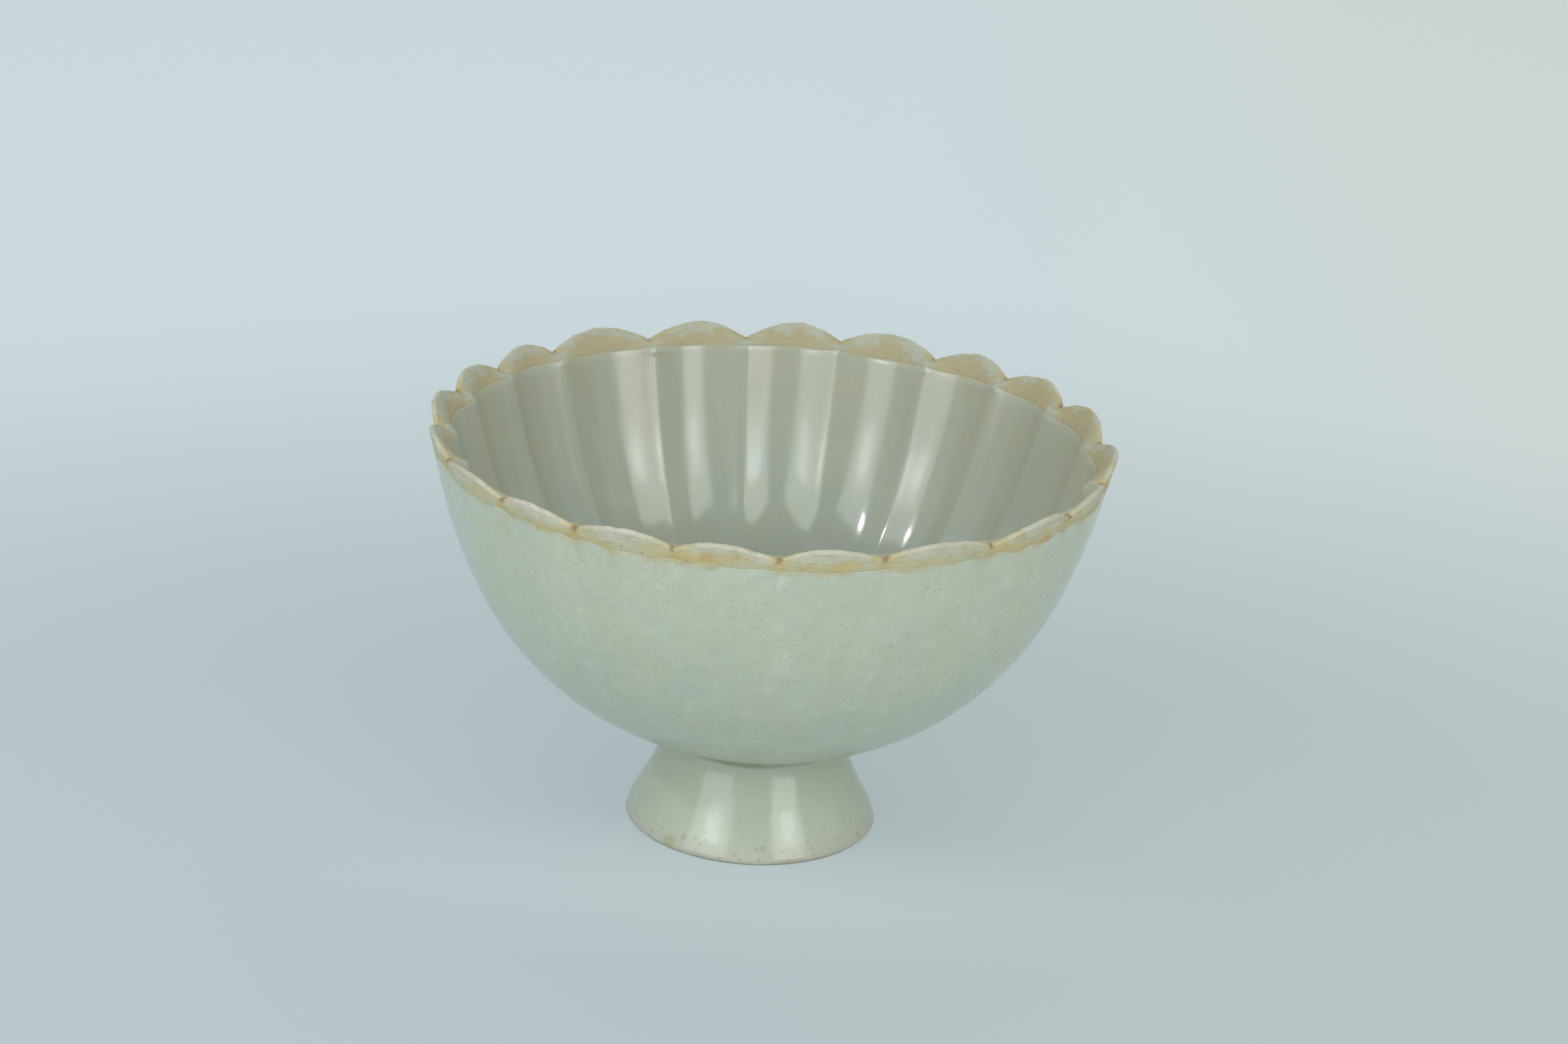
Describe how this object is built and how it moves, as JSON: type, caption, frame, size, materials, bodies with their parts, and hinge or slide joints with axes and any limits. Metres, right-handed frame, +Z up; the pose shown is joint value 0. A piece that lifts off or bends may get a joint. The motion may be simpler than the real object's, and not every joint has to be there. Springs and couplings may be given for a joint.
{
  "type": "footed bowl",
  "caption": "White-glazed ceramic bowl with a petalled bare lip, fluted inside, on a flared hollow foot; holds food, fruit or water on a table.",
  "frame": {"origin": "on the bowl's axis, in the plane of the foot ring that it stands on", "axes": "+Z up along the bowl's axis, +X to the right in the picture, -Y towards the picture's viewer"},
  "size_m": [0.1582, 0.158, 0.098],
  "materials": {
    "bare_clay": "matte, stained",
    "foot_clay": "matte",
    "slip": "matte",
    "inner_glaze": "glossy",
    "outer_glaze": "satin gloss"
  },
  "bodies": {
    "root": {"bowl_body": "bare_clay", "pedestal_foot": "foot_clay", "luting_slip": "slip", "glaze_inside": "inner_glaze", "glaze_outside": "outer_glaze"}
  },
  "joints": []
}
